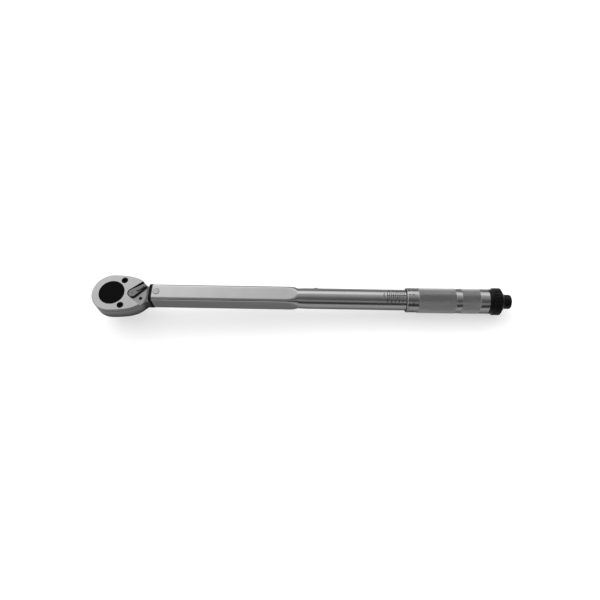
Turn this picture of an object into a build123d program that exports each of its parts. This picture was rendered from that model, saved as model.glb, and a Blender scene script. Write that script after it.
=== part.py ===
from build123d import *
import math
import os

# Click-type torque wrench with a reversible ratchet head and a micrometer grip.
# X runs from the drive axis to the grip, Z is the drive axis with the lever side up,
# and the origin is the centre of the square drive's end face. Millimetres.

os.makedirs("parts", exist_ok=True)

# longer than any piece is thick, for cuts that go right through
cut_through = 40.0

# ---- square drive and the heights that it sets ----
square_across_flats = 12.7
square_length = 15.5
boss_height = 0.75
head_bottom = square_length + boss_height
tube_z = head_bottom + 11.25
head_top = tube_z + 6.85
plate_thickness = 4.2
plate_bottom = head_top - plate_thickness
recess_floor = head_top - 2.6

# ---- ratchet head ----
head_radius = 21.4
head_end_x = 40.4
neck_half_width = 9.2
plate_end_x = 36.8
plate_end_radius = 24.0
gear_tip_radius = 14.5
tooth_depth = 1.0
tooth_count = 36
gear_bottom = tube_z - 6.5
gear_teeth_top = tube_z + 1.9
rear_disc_radius = 13.65
lower_journal_radius = 10.2
cavity_radius = 14.7
running_gap = 0.05
foot_rounding = 2.2
plate_edge_rounding = 1.1
shoulder_gap = 0.25
disc_gap = 0.1
disc_chamfer = 0.35
floor_gap = 0.1
square_corner = 1.2
square_chamfer = 0.8
tooth_half_gap = 1.9
tooth_cut_length = 2.0

# ---- pawl and reversing lever ----
pawl_inner_radius = 14.62
pawl_outer_radius = 18.5
pawl_half_angle = 22.0
pawl_bottom = tube_z - 5.0
pawl_top = tube_z + 1.7
pawl_rest_angle = -6.0
pawl_cavity_half_angle = 31.0
pawl_gap = 0.15
pawl_tooth_count = 4
pawl_tooth_span = 40.0
pawl_tooth_depth = 1.2
pawl_groove_distance = 18.9
pawl_groove_radius = 2.0
lever_x = 22.0
lever_rest_angle = 38.0
lever_base_radius = 4.6
lever_reach = 16.4
lever_tip_radius = 2.5
lever_shaft_radius = 3.3
lever_journal_radius = 2.5
lever_pocket_radius = 4.8
lever_journal_length = 3.0
lever_edge_chamfer = 0.45
pad_x = 9.6
pad_length = 9.6
pad_width = 3.8
pad_height = 1.3
pad_rounding = 0.4
rib_count = 5
rib_pitch = 1.35
rib_gap = 0.55
rib_start_x = 6.9
dimple_radius = 1.3
recess_side_gap = 0.6
ring_groove_depth = 0.7
plunger_bore_radius = 1.3
lever_plunger_radius = 1.2
lever_coil_radius = 0.9
lever_wire_radius = 0.2
lever_spring_turns = 4
pawl_plunger_z = tube_z - 1.6

# ---- cover plate screws and direction marks ----
screw_x = 11.6
screw_y = 14.8
screw_head_radius = 3.35
screw_head_height = 1.9
screw_head_gap = 0.2
screw_head_sink = 0.15
screw_shank_radius = 2.0
screw_shank_length = 9.5
screw_shank_gap = 0.15
screw_hole_depth = 8.0
screw_socket_radius = 1.6
screw_socket_depth = 1.4
mark_x = 31.1
mark_y = 5.4
mark_radius = 1.9
mark_depth = 1.2
mark_sink = 0.1

# ---- socket detent in the square ----
ball_radius = 2.4
ball_z = 7.6
ball_proud = 0.9
detent_coil_radius = 1.7
detent_wire_radius = 0.25
detent_turns = 3

# ---- tube ----
wall = 1.6
tube_start_x = 43.8
flat_end_x = 184.0
flat_tip_x = 197.0
round_start_x = 207.0
tube_end_x = 357.0
tube_half_width = 9.4
tube_half_height = 10.8
tube_corner = 3.0
tube_radius = 11.1
seam_step = 0.04
bore_radius = tube_radius - wall
seal_start_x = 40.7
seal_overhang = 0.3
seal_side_gap = 0.4

# ---- pivot and tang ----
pivot_x = 48.3
pivot_radius = 3.6
pin_proud = 0.6
pin_chamfer = 0.5
tang_start_x = head_end_x - 2.0
tang_taper_x = pivot_x + 2.0
tang_step_x = 176.0
tang_end_x = 197.5
tang_root_half_width = 7.3
tang_end_half_width = 4.9
tang_half_height = 8.6
tang_end_half_height = 5.5

# ---- click block and spring plunger ----
block_length = 10.0
block_width = 8.0
block_height = 8.0
block_start_x = 196.4
block_edge_radius = 0.5
pocket_side_gap = 0.35
pocket_depth = 1.2
plunger_face_x = block_start_x + block_length - pocket_depth
plunger_shoulder_x = 209.5
plunger_rear_x = 232.0
plunger_radius = bore_radius - 0.07
plunger_nose_radius = 7.4
guide_screw_x = 217.7
guide_screw_radius = 2.0
guide_head_radius = 2.6
guide_head_height = 1.7
spot_face_radius = 2.7
spot_face_depth = 0.4
spigot_radius = 4.5
spigot_length = 6.0
keyway_length = 7.4
keyway_width = 4.4
keyway_depth = 2.3

# ---- main spring and its rear seat ----
spring_mean_radius = 7.1
spring_wire_radius = 2.1
spring_turns = 8
follower_start_x = 300.0
follower_end_x = 308.0
thrust_ball_x = 309.6
thrust_ball_radius = 3.0

# ---- adjusting spindle and its nut ----
spindle_start_x = 311.2
thread_start_x = 318.0
thread_end_x = 372.0
thread_radius = 7.0
thread_gap = 0.08
spindle_shank_radius = 5.0
spindle_end_x = 398.0
nut_start_x = 331.0
nut_end_x = 355.0
nut_pin_x = 336.5
nut_pin_radius = 1.5
lock_pin_x = 343.0
lock_pin_radius = 1.7

# ---- grip sleeve ----
sleeve_start_x = 313.4
sleeve_end_x = 400.4
sleeve_bore = tube_radius + 0.09
front_band_radius = 13.0
front_knurl_radius = 13.5
front_knurl_x = (326.0, 365.0)
groove_radius = 13.1
rear_knurl_radius = 13.4
rear_knurl_x = (371.5, 390.5)
rear_band_radius = 13.1
plug_start_x = 380.0
plug_radius = 11.9
set_screw_x = 385.5
set_screw_radius = 2.0

# ---- lock ring, end cap and lock rod ----
lock_gap = 0.2
lock_front_radius = 13.1
lock_rib_radius = 14.5
lock_rib_x = (405.6, 412.6)
lock_end_x = 416.0
lock_rear_radius = 9.9
hub_radius = 8.0
hub_end_x = 406.4
clip_x = 404.75
cap_radius = 7.7
cap_end_x = 425.0
rod_radius = 2.0
rod_start_x = 320.0
rod_end_x = 412.5
rod_thread_radius = 2.6
rod_pin_x = 392.0
rod_pin_radius = 0.9
rod_pin_length = 9.0
cap_seat_radius = 6.0
cap_seat_depth = 3.0
cap_rounding = 1.9
rib_groove_count = 24
rib_groove_radius = 1.0
clip_room_radius = 10.4

tube_axis = Axis((0, 0, tube_z), (1, 0, 0))
side_plane = Plane(origin=(0, 0, tube_z), x_dir=(1, 0, 0), z_dir=(0, -1, 0))


def across(x, y=0.0, z=tube_z):
    """Plane across the tube at x: its own x is the row's Y, its own y is the row's Z."""
    return Plane(origin=(x, y, z), x_dir=(0, 1, 0), z_dir=(1, 0, 0))


def level(z, x=0.0, y=0.0, turn=0.0):
    """Horizontal plane at height z, turned about its own origin by some degrees."""
    heading = math.radians(turn)
    return Plane(origin=(x, y, z), x_dir=(math.cos(heading), math.sin(heading), 0), z_dir=(0, 0, 1))


def turned(*corners):
    """Half-section of a piece turned about the tube axis, from its (x, radius) corners."""
    with BuildSketch(side_plane) as half_section:
        with BuildLine():
            Polyline(*corners, close=True)
        make_face()
    return half_section.sketch


def coil(base, direction, length, mean_radius, wire_radius, turns):
    """A helical compression spring that stands on base and points along direction."""
    rise = length - 2 * wire_radius
    start = Vector(base) + Vector(direction) * wire_radius
    with BuildPart() as spring:
        with BuildLine() as path:
            Helix(rise / turns, rise, mean_radius, center=start, direction=direction)
        with BuildSketch(Plane(origin=path.line @ 0, z_dir=path.line % 0)):
            Circle(wire_radius)
        sweep(path=path.line, is_frenet=True)
    return spring.part


def head_outline():
    """Pear-shaped plan of the head, from its round nose to the tube's mouth."""
    with BuildSketch() as outline:
        with BuildLine():
            CenterArc((0, 0), head_radius, 90, 90)
            Spline(
                (0, head_radius),
                (11.0, 20.9),
                (24.0, 18.4),
                (30.8, 14.9),
                (34.6, 11.4),
                tangents=[(1, 0), (0.62, -0.78)],
            )
            Line((34.6, 11.4), (37.2, neck_half_width))
            Line((37.2, neck_half_width), (head_end_x, neck_half_width))
            Line((head_end_x, neck_half_width), (head_end_x, 0))
            Line((head_end_x, 0), (-head_radius, 0))
        make_face()
        mirror(about=Plane.XZ)
    return outline.sketch


def plate_zone(gap):
    """Plan area left of the cover plate's round end, grown by gap."""
    with BuildSketch() as zone:
        with Locations((plate_end_x - plate_end_radius, 0)):
            Circle(plate_end_radius + gap)
        with Locations((plate_end_x - plate_end_radius - 20.0, 0)):
            Rectangle(40.0, 60.0)
    return zone.sketch


def sector(reach, half_angle):
    """Triangle that opens from the drive axis along +X, half_angle degrees to each side."""
    half_width = reach * math.tan(math.radians(half_angle))
    with BuildLine() as edges:
        Polyline((0, 0), (reach, -half_width), (reach, half_width), close=True)
    return edges.line


def placed(sketch, height):
    """The same sketch, raised to height."""
    return Location((0, 0, height)) * sketch


def tube_section(x, inset):
    """Tube section at x: a rounded rectangle at the head end that swells to a circle."""
    along = min(max((x - flat_end_x) / (round_start_x - flat_end_x), 0.0), 1.0)
    ease = along * along * (3 - 2 * along)
    half_width = tube_half_width + (tube_radius - seam_step - tube_half_width) * ease - inset
    half_height = tube_half_height + (tube_radius - seam_step - tube_half_height) * ease - inset
    flat_along = min(max((x - flat_end_x) / (flat_tip_x - flat_end_x), 0.0), 1.0)
    flat_share = math.sqrt(1 - flat_along * flat_along)
    corner = tube_corner - min(inset, tube_corner - 1.4)
    flat_half = max((half_width - corner) * flat_share, 0.05)
    radius = min(half_width - flat_half, half_height - 0.05)
    with BuildSketch(across(x)) as section:
        RectangleRounded(2 * half_width, 2 * half_height, radius)
    return section.sketch


# ================= ratchet head =================

with BuildPart() as ratchet_head:
    extrude(placed(head_outline(), head_bottom), amount=plate_bottom - head_bottom)
    fillet(ratchet_head.faces().sort_by(Axis.Z)[0].edges(), foot_rounding)
    # shoulder behind the cover plate, as high as the recess floor
    shoulder = head_outline() - plate_zone(shoulder_gap)
    extrude(placed(shoulder, plate_bottom), amount=recess_floor - plate_bottom)
    # tang, a tapered bar that reaches down the tube to the click block
    with BuildSketch(level(tube_z - tang_half_height)):
        with BuildLine():
            Polyline(
                (tang_start_x, -tang_root_half_width),
                (tang_taper_x, -tang_root_half_width),
                (tang_end_x, -tang_end_half_width),
                (tang_end_x, tang_end_half_width),
                (tang_taper_x, tang_root_half_width),
                (tang_start_x, tang_root_half_width),
                close=True,
            )
        make_face()
    extrude(amount=2 * tang_half_height)
    # the tang keeps clear of the cover plate where it starts
    with BuildSketch(level(recess_floor)):
        with Locations((tang_start_x, 0)):
            Rectangle(2 * (head_end_x - tang_start_x), 4 * tang_root_half_width)
    extrude(amount=cut_through, mode=Mode.SUBTRACT)
    # its rear end is lower, so that it can swing inside the round bore
    for side in (1, -1):
        rear_step = tube_z + side * (tang_end_half_height + tang_half_height) / 2
        with Locations(((tang_step_x + tang_end_x) / 2, 0, rear_step)):
            Box(
                tang_end_x - tang_step_x,
                4 * tang_root_half_width,
                tang_half_height - tang_end_half_height,
                mode=Mode.SUBTRACT,
            )
    # gear cavity, lower journal bore and pawl cavity
    with BuildSketch(level(gear_bottom - floor_gap)):
        Circle(cavity_radius)
    extrude(amount=cut_through, mode=Mode.SUBTRACT)
    with BuildSketch(level(0)):
        Circle(lower_journal_radius + running_gap)
    extrude(amount=gear_bottom, mode=Mode.SUBTRACT)
    with BuildSketch(level(pawl_bottom - floor_gap)):
        Circle(pawl_outer_radius + pawl_gap)
        Circle(cavity_radius - 2.0, mode=Mode.SUBTRACT)
        make_face(sector(cut_through, pawl_cavity_half_angle).edges(), mode=Mode.INTERSECT)
    extrude(amount=plate_bottom - pawl_bottom + floor_gap, mode=Mode.SUBTRACT)
    # lever pocket and lower journal bore
    with BuildSketch(level(pawl_bottom - floor_gap, lever_x)):
        Circle(lever_pocket_radius)
    extrude(amount=plate_bottom - pawl_bottom + floor_gap, mode=Mode.SUBTRACT)
    with BuildSketch(level(pawl_bottom, lever_x)):
        Circle(lever_journal_radius + running_gap)
    extrude(amount=-(lever_journal_length + 0.3), mode=Mode.SUBTRACT)
    # tapped holes for the cover screws
    with Locations((screw_x, screw_y, plate_bottom), (screw_x, -screw_y, plate_bottom)):
        Cylinder(screw_shank_radius, 2 * screw_hole_depth, mode=Mode.SUBTRACT)
    # pivot bore through the tang
    with Locations((pivot_x, 0, tube_z)):
        Cylinder(pivot_radius + running_gap, cut_through, mode=Mode.SUBTRACT)
    # pocket in the tang's end for the click block
    with Locations((tang_end_x, 0, tube_z)):
        Box(
            2 * (tang_end_x - block_start_x + 0.05),
            block_width + 2 * pocket_side_gap,
            block_height + 2 * pocket_side_gap,
            mode=Mode.SUBTRACT,
        )
ratchet_head.part.label = "ratchet_head"
export_step(ratchet_head.part, "parts/ratchet_head.step")

with BuildPart() as cover_plate:
    extrude(placed(head_outline(), plate_bottom), amount=plate_thickness)
    fillet(cover_plate.faces().sort_by(Axis.Z)[-1].edges(), plate_edge_rounding)
    extrude(placed(plate_zone(0), plate_bottom), amount=plate_thickness, mode=Mode.INTERSECT)
    # lever recess: a sector about the lever's pivot, open at the round end
    with BuildSketch(level(recess_floor)):
        with BuildLine():
            sweep_edge = math.radians(lever_rest_angle)
            wide = lever_base_radius + recess_side_gap
            left_x = lever_x - wide * math.sin(sweep_edge)
            left_y = wide * math.cos(sweep_edge)
            far_x = left_x + cut_through * math.cos(sweep_edge)
            far_y = left_y + cut_through * math.sin(sweep_edge)
            ThreePointArc((left_x, left_y), (lever_x - wide, 0), (left_x, -left_y))
            Polyline((left_x, -left_y), (far_x, -far_y), (far_x, far_y), (left_x, left_y))
        make_face()
    extrude(amount=cut_through, mode=Mode.SUBTRACT)
    with Locations((0, 0, plate_bottom)):
        Cylinder(rear_disc_radius + disc_gap, cut_through, mode=Mode.SUBTRACT)
    with Locations((lever_x, 0, plate_bottom)):
        Cylinder(lever_shaft_radius + running_gap, cut_through, mode=Mode.SUBTRACT)
    with BuildSketch(level(head_top)):
        with Locations((screw_x, screw_y), (screw_x, -screw_y)):
            Circle(screw_head_radius + screw_head_gap)
    extrude(amount=-(screw_head_height + screw_head_sink), mode=Mode.SUBTRACT)
    with BuildSketch(level(head_top)):
        with Locations((screw_x, screw_y), (screw_x, -screw_y)):
            Circle(screw_shank_radius + screw_shank_gap)
    extrude(amount=-cut_through, mode=Mode.SUBTRACT)
    with BuildSketch(level(recess_floor)):
        with Locations((mark_x, mark_y), (mark_x, -mark_y)):
            Circle(mark_radius)
    extrude(amount=-mark_depth, mode=Mode.SUBTRACT)
cover_plate.part.label = "cover_plate"
export_step(cover_plate.part, "parts/cover_plate.step")

with BuildPart() as cover_screws:
    head_seat = head_top - screw_head_height - screw_head_sink
    with BuildSketch(level(head_seat)):
        with Locations((screw_x, screw_y), (screw_x, -screw_y)):
            Circle(screw_head_radius)
    extrude(amount=screw_head_height)
    with BuildSketch(level(head_seat)):
        with Locations((screw_x, screw_y), (screw_x, -screw_y)):
            Circle(screw_shank_radius)
    extrude(amount=-screw_shank_length)
    with BuildSketch(level(head_seat + screw_head_height)):
        with Locations((screw_x, screw_y), (screw_x, -screw_y)):
            RegularPolygon(screw_socket_radius, 6)
    extrude(amount=-screw_socket_depth, mode=Mode.SUBTRACT)
cover_screws.part.label = "cover_screws"
export_step(cover_screws.part, "parts/cover_screws.step")

with BuildPart() as direction_marks:
    with BuildSketch(level(recess_floor - mark_depth)):
        with Locations((mark_x, mark_y), (mark_x, -mark_y)):
            Circle(mark_radius)
    extrude(amount=mark_depth - mark_sink)
direction_marks.part.label = "direction_marks"
export_step(direction_marks.part, "parts/direction_marks.step")

# ================= drive gear with its square =================

with BuildPart() as drive_gear:
    with BuildSketch(level(gear_bottom)):
        Circle(gear_tip_radius)
    extrude(amount=gear_teeth_top - gear_bottom)
    with BuildSketch(level(gear_bottom)):
        with PolarLocations(gear_tip_radius - tooth_depth, tooth_count):
            Polygon(
                (0, 0),
                (tooth_cut_length, -tooth_half_gap),
                (tooth_cut_length, tooth_half_gap),
                align=None,
            )
    extrude(amount=gear_teeth_top - gear_bottom, mode=Mode.SUBTRACT)
    with BuildSketch(level(gear_teeth_top)):
        Circle(rear_disc_radius - 0.6)
    extrude(amount=plate_bottom - gear_teeth_top)
    with BuildSketch(level(plate_bottom)):
        Circle(rear_disc_radius)
    extrude(amount=plate_thickness - disc_gap)
    chamfer(drive_gear.faces().sort_by(Axis.Z)[-1].edges(), disc_chamfer)
    with BuildSketch(level(square_length)):
        Circle(lower_journal_radius)
    extrude(amount=gear_bottom - square_length)
    with BuildSketch(level(0)):
        RectangleRounded(square_across_flats, square_across_flats, square_corner)
    extrude(amount=square_length)
    chamfer(drive_gear.faces().sort_by(Axis.Z)[0].edges(), square_chamfer)
    # blind hole for the socket detent
    with BuildSketch(Plane(origin=(0, 0, ball_z), z_dir=(0, -1, 0))):
        Circle(ball_radius + running_gap)
    extrude(amount=cut_through, mode=Mode.SUBTRACT)
drive_gear.part.label = "drive_gear"
export_step(drive_gear.part, "parts/drive_gear.step")

ball_y = -(square_across_flats / 2 + ball_proud - ball_radius)

with BuildPart() as detent_ball:
    with Locations((0, ball_y, ball_z)):
        Sphere(ball_radius)
detent_ball.part.label = "detent_ball"
export_step(detent_ball.part, "parts/detent_ball.step")

with BuildPart() as detent_spring:
    detent_length = -ball_y - ball_radius - 2 * running_gap
    detent_foot = (0, -running_gap, ball_z)
    add(coil(detent_foot, (0, -1, 0), detent_length, detent_coil_radius, detent_wire_radius, detent_turns))
detent_spring.part.label = "detent_spring"
export_step(detent_spring.part, "parts/detent_spring.step")

# ================= pawl and reversing lever =================

with BuildPart() as ratchet_pawl:
    with BuildSketch(level(pawl_bottom, turn=pawl_rest_angle)):
        Circle(pawl_outer_radius)
        Circle(pawl_inner_radius, mode=Mode.SUBTRACT)
        make_face(sector(cut_through, pawl_half_angle).edges(), mode=Mode.INTERSECT)
        with Locations((pawl_groove_distance, 0)):
            Circle(pawl_groove_radius, mode=Mode.SUBTRACT)
    extrude(amount=pawl_top - pawl_bottom)
    # teeth cut across the hollow face
    with BuildSketch(level(pawl_bottom, turn=pawl_rest_angle)):
        with PolarLocations(
            pawl_inner_radius + 0.8,
            pawl_tooth_count,
            start_angle=-pawl_tooth_span / 2,
            angular_range=pawl_tooth_span,
        ):
            Polygon(
                (0.1, 0),
                (-pawl_tooth_depth, -pawl_tooth_depth),
                (-pawl_tooth_depth, pawl_tooth_depth),
                align=None,
            )
    extrude(amount=pawl_top - pawl_bottom, mode=Mode.SUBTRACT)
ratchet_pawl.part.label = "ratchet_pawl"
export_step(ratchet_pawl.part, "parts/ratchet_pawl.step")

lever_top = head_top - 0.1

with BuildPart() as reversing_lever:
    with BuildSketch(level(recess_floor + 0.05, lever_x, turn=lever_rest_angle)):
        Circle(lever_base_radius)
        with Locations((lever_reach - lever_tip_radius, 0)):
            Circle(lever_tip_radius)
        make_hull()
    extrude(amount=lever_top - recess_floor - 0.05)
    chamfer(reversing_lever.faces().sort_by(Axis.Z)[-1].edges(), lever_edge_chamfer)
    # raised thumb pad with cross grooves
    with BuildSketch(level(lever_top, lever_x, turn=lever_rest_angle)):
        with Locations((pad_x, 0)):
            SlotOverall(pad_length, pad_width)
    extrude(amount=pad_height)
    fillet(reversing_lever.faces().sort_by(Axis.Z)[-1].edges(), pad_rounding)
    with BuildSketch(level(lever_top + pad_height / 2, lever_x, turn=lever_rest_angle)):
        with Locations(*[(rib_start_x + rib_pitch * rib, 0) for rib in range(rib_count)]):
            Rectangle(rib_gap, 2 * pad_width)
    extrude(amount=pad_height, mode=Mode.SUBTRACT)
    # centre dimple
    with Locations((lever_x, 0, lever_top + 0.3)):
        Cone(0.2, dimple_radius, 1.6, mode=Mode.SUBTRACT)
    # shaft, snap-ring groove and lower journal
    with BuildSketch(level(recess_floor + 0.5, lever_x)):
        Circle(lever_shaft_radius)
    extrude(amount=-(recess_floor + 0.5 - pawl_bottom))
    with BuildSketch(level(plate_bottom - 0.8, lever_x)):
        Circle(lever_shaft_radius)
        Circle(lever_shaft_radius - ring_groove_depth, mode=Mode.SUBTRACT)
    extrude(amount=0.7, mode=Mode.SUBTRACT)
    with BuildSketch(level(pawl_bottom, lever_x)):
        Circle(lever_journal_radius)
    extrude(amount=-lever_journal_length)
    # blind cross bore for the pawl plunger
    bore_heading = Vector(1, 0, 0).rotate(Axis.Z, lever_rest_angle)
    bore_floor = Vector(lever_x, 0, pawl_plunger_z) + bore_heading * 2.2
    with BuildSketch(Plane(origin=bore_floor, z_dir=-bore_heading)):
        Circle(plunger_bore_radius)
    extrude(amount=8.0, mode=Mode.SUBTRACT)
reversing_lever.part.label = "reversing_lever"
export_step(reversing_lever.part, "parts/reversing_lever.step")

with BuildPart() as lever_clip:
    with BuildSketch(level(plate_bottom - 0.75, lever_x)):
        Circle(lever_shaft_radius + 1.0)
        Circle(lever_shaft_radius - 0.65, mode=Mode.SUBTRACT)
        with Locations((6.0, 0)):
            Rectangle(12.0, 2.4, mode=Mode.SUBTRACT)
    extrude(amount=0.6)
lever_clip.part.label = "lever_clip"
export_step(lever_clip.part, "parts/lever_clip.step")

with BuildPart() as pawl_plunger:
    with BuildSketch(
        Plane(
            origin=(lever_x, 0, pawl_plunger_z),
            x_dir=-bore_heading,
            z_dir=Vector(0, 0, 1).cross(bore_heading),
        )
    ) as plunger_section:
        with BuildLine():
            shank_end = 3.3
            tip_x = shank_end + lever_plunger_radius
            Polyline((0.9, 0), (0.9, lever_plunger_radius), (shank_end, lever_plunger_radius))
            RadiusArc((shank_end, lever_plunger_radius), (tip_x, 0), lever_plunger_radius)
            Line((tip_x, 0), (0.9, 0))
        make_face()
    revolve(axis=Axis(origin=(lever_x, 0, pawl_plunger_z), direction=bore_heading))
pawl_plunger.part.label = "pawl_plunger"
export_step(pawl_plunger.part, "parts/pawl_plunger.step")

with BuildPart() as lever_spring:
    spring_seat = Vector(lever_x, 0, pawl_plunger_z) + bore_heading * 2.15
    add(coil(spring_seat, -bore_heading, 3.0, lever_coil_radius, lever_wire_radius, lever_spring_turns))
lever_spring.part.label = "lever_spring"
export_step(lever_spring.part, "parts/lever_spring.step")

# ================= tube and what is fixed in it =================

# where the outside changes from the rounded rectangle to the circle
stations = (flat_end_x, 188.0, 191.5, 194.5, 196.4, 198.5, 202.0, round_start_x)

with BuildPart() as tube:
    with BuildSketch(across(tube_start_x)):
        RectangleRounded(2 * tube_half_width, 2 * tube_half_height, tube_corner)
    extrude(amount=flat_end_x - tube_start_x)
    loft([tube_section(x, 0.0) for x in stations], ruled=True)
    with BuildSketch(across(round_start_x)):
        Circle(tube_radius)
    extrude(amount=tube_end_x - round_start_x)
    extrude(tube_section(tube_start_x, wall), amount=flat_end_x - tube_start_x, mode=Mode.SUBTRACT)
    loft([tube_section(x, wall) for x in (flat_end_x, round_start_x)], ruled=True, mode=Mode.SUBTRACT)
    with BuildSketch(across(round_start_x)):
        Circle(bore_radius)
    extrude(amount=tube_end_x - round_start_x, mode=Mode.SUBTRACT)
    # pivot pin holes, guide screw hole with its spot face, and nut pin holes
    with Locations((pivot_x, 0, tube_z)):
        Cylinder(pivot_radius, cut_through, mode=Mode.SUBTRACT)
    with BuildSketch(Plane(origin=(guide_screw_x, 0, tube_z), z_dir=(0, 1, 0))):
        Circle(guide_screw_radius)
    extrude(amount=20.0, mode=Mode.SUBTRACT)
    with BuildSketch(Plane(origin=(guide_screw_x, tube_radius - spot_face_depth, tube_z), z_dir=(0, 1, 0))):
        Circle(spot_face_radius)
    extrude(amount=5.0, mode=Mode.SUBTRACT)
    with Locations((nut_pin_x, 0, tube_z)):
        Cylinder(nut_pin_radius, cut_through, mode=Mode.SUBTRACT)
tube.part.label = "tube"
export_step(tube.part, "parts/tube.step")

with BuildPart() as tube_mouth_seal:
    with BuildSketch(across(seal_start_x)):
        RectangleRounded(
            2 * (tube_half_width + seal_overhang),
            2 * (tube_half_height + seal_overhang),
            tube_corner + seal_overhang,
        )
        RectangleRounded(
            2 * (tang_root_half_width + seal_side_gap),
            2 * (tang_half_height + seal_overhang),
            1.0,
            mode=Mode.SUBTRACT,
        )
    extrude(amount=tube_start_x - seal_start_x)
tube_mouth_seal.part.label = "tube_mouth_seal"
export_step(tube_mouth_seal.part, "parts/tube_mouth_seal.step")

with BuildPart() as pivot_pin:
    with BuildSketch(level(tube_z - tube_half_height - pin_proud / 3, pivot_x)):
        Circle(pivot_radius)
    extrude(amount=2 * tube_half_height + pin_proud * 4 / 3)
    chamfer(pivot_pin.edges().filter_by(GeomType.CIRCLE), pin_chamfer)
pivot_pin.part.label = "pivot_pin"
export_step(pivot_pin.part, "parts/pivot_pin.step")

with BuildPart() as guide_screw:
    with BuildSketch(Plane(origin=(guide_screw_x, tube_radius - spot_face_depth, tube_z), z_dir=(0, 1, 0))):
        Circle(guide_head_radius)
    extrude(amount=guide_head_height)
    fillet(guide_screw.faces().sort_by(Axis.Y)[-1].edges(), 1.0)
    with BuildSketch(Plane(origin=(guide_screw_x, tube_radius - spot_face_depth, tube_z), z_dir=(0, -1, 0))):
        Circle(guide_screw_radius)
    extrude(amount=3.2)
    guide_head_top = tube_radius - spot_face_depth + guide_head_height
    with BuildSketch(Plane(origin=(guide_screw_x, guide_head_top, tube_z), z_dir=(0, -1, 0))):
        RegularPolygon(1.15, 6)
    extrude(amount=0.9, mode=Mode.SUBTRACT)
guide_screw.part.label = "guide_screw"
export_step(guide_screw.part, "parts/guide_screw.step")

with BuildPart() as spindle_nut:
    revolve(
        turned(
            (nut_start_x, thread_radius + thread_gap),
            (nut_end_x, thread_radius + thread_gap),
            (nut_end_x, bore_radius),
            (nut_start_x, bore_radius),
        ),
        axis=tube_axis,
    )
    with Locations((nut_pin_x, 0, tube_z)):
        Cylinder(nut_pin_radius, cut_through, mode=Mode.SUBTRACT)
spindle_nut.part.label = "spindle_nut"
export_step(spindle_nut.part, "parts/spindle_nut.step")

with BuildPart() as nut_pins:
    with BuildSketch(level(tube_z, nut_pin_x)):
        Circle(nut_pin_radius)
    pin_outer = math.sqrt(tube_radius ** 2 - nut_pin_radius ** 2) - 0.05
    extrude(amount=pin_outer, both=True)
    pin_inner = thread_radius + 0.4
    core = turned((nut_start_x, 0), (nut_end_x, 0), (nut_end_x, pin_inner), (nut_start_x, pin_inner))
    revolve(core, axis=tube_axis, mode=Mode.SUBTRACT)
nut_pins.part.label = "nut_pins"
export_step(nut_pins.part, "parts/nut_pins.step")

# ================= click block, plunger and main spring =================

with BuildPart() as click_block:
    with Locations((block_start_x + block_length / 2, 0, tube_z)):
        Box(block_length, block_width, block_height)
    fillet(click_block.edges().filter_by(Axis.Z), block_edge_radius)
click_block.part.label = "click_block"
export_step(click_block.part, "parts/click_block.step")

with BuildPart() as spring_plunger:
    revolve(
        turned(
            (plunger_face_x, 0),
            (plunger_face_x, plunger_nose_radius - 0.6),
            (plunger_face_x + 0.6, plunger_nose_radius),
            (plunger_shoulder_x, plunger_nose_radius),
            (plunger_shoulder_x, plunger_radius),
            (plunger_rear_x, plunger_radius),
            (plunger_rear_x, spigot_radius),
            (plunger_rear_x + spigot_length, spigot_radius),
            (plunger_rear_x + spigot_length, 0),
        ),
        axis=tube_axis,
    )
    # pocket for the click block's rear end
    with Locations((plunger_face_x, 0, tube_z)):
        Box(
            2 * (pocket_depth + 0.05),
            block_width + 2 * pocket_side_gap,
            block_height + 2 * pocket_side_gap,
            mode=Mode.SUBTRACT,
        )
    # keyway that runs along the guide screw's tip
    with Locations((guide_screw_x - 1.0, bore_radius, tube_z)):
        Box(keyway_length, 2 * keyway_depth, keyway_width, mode=Mode.SUBTRACT)
spring_plunger.part.label = "spring_plunger"
export_step(spring_plunger.part, "parts/spring_plunger.step")

with BuildPart() as main_spring:
    spring_length = follower_start_x - plunger_rear_x - 0.1
    add(
        coil(
            (plunger_rear_x + 0.05, 0, tube_z),
            (1, 0, 0),
            spring_length,
            spring_mean_radius,
            spring_wire_radius,
            spring_turns,
        )
    )
main_spring.part.label = "main_spring"
export_step(main_spring.part, "parts/main_spring.step")

with BuildPart() as spring_follower:
    revolve(
        turned(
            (follower_start_x - spigot_length, 0),
            (follower_start_x - spigot_length, spigot_radius),
            (follower_start_x, spigot_radius),
            (follower_start_x, plunger_radius),
            (follower_end_x, plunger_radius),
            (follower_end_x, 0),
        ),
        axis=tube_axis,
    )
    with Locations((thrust_ball_x, 0, tube_z)):
        Sphere(thrust_ball_radius + 0.02, mode=Mode.SUBTRACT)
spring_follower.part.label = "spring_follower"
export_step(spring_follower.part, "parts/spring_follower.step")

with BuildPart() as thrust_ball:
    with Locations((thrust_ball_x, 0, tube_z)):
        Sphere(thrust_ball_radius)
thrust_ball.part.label = "thrust_ball"
export_step(thrust_ball.part, "parts/thrust_ball.step")

# ================= grip: spindle, sleeve, end plug and their fixings =================

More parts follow.
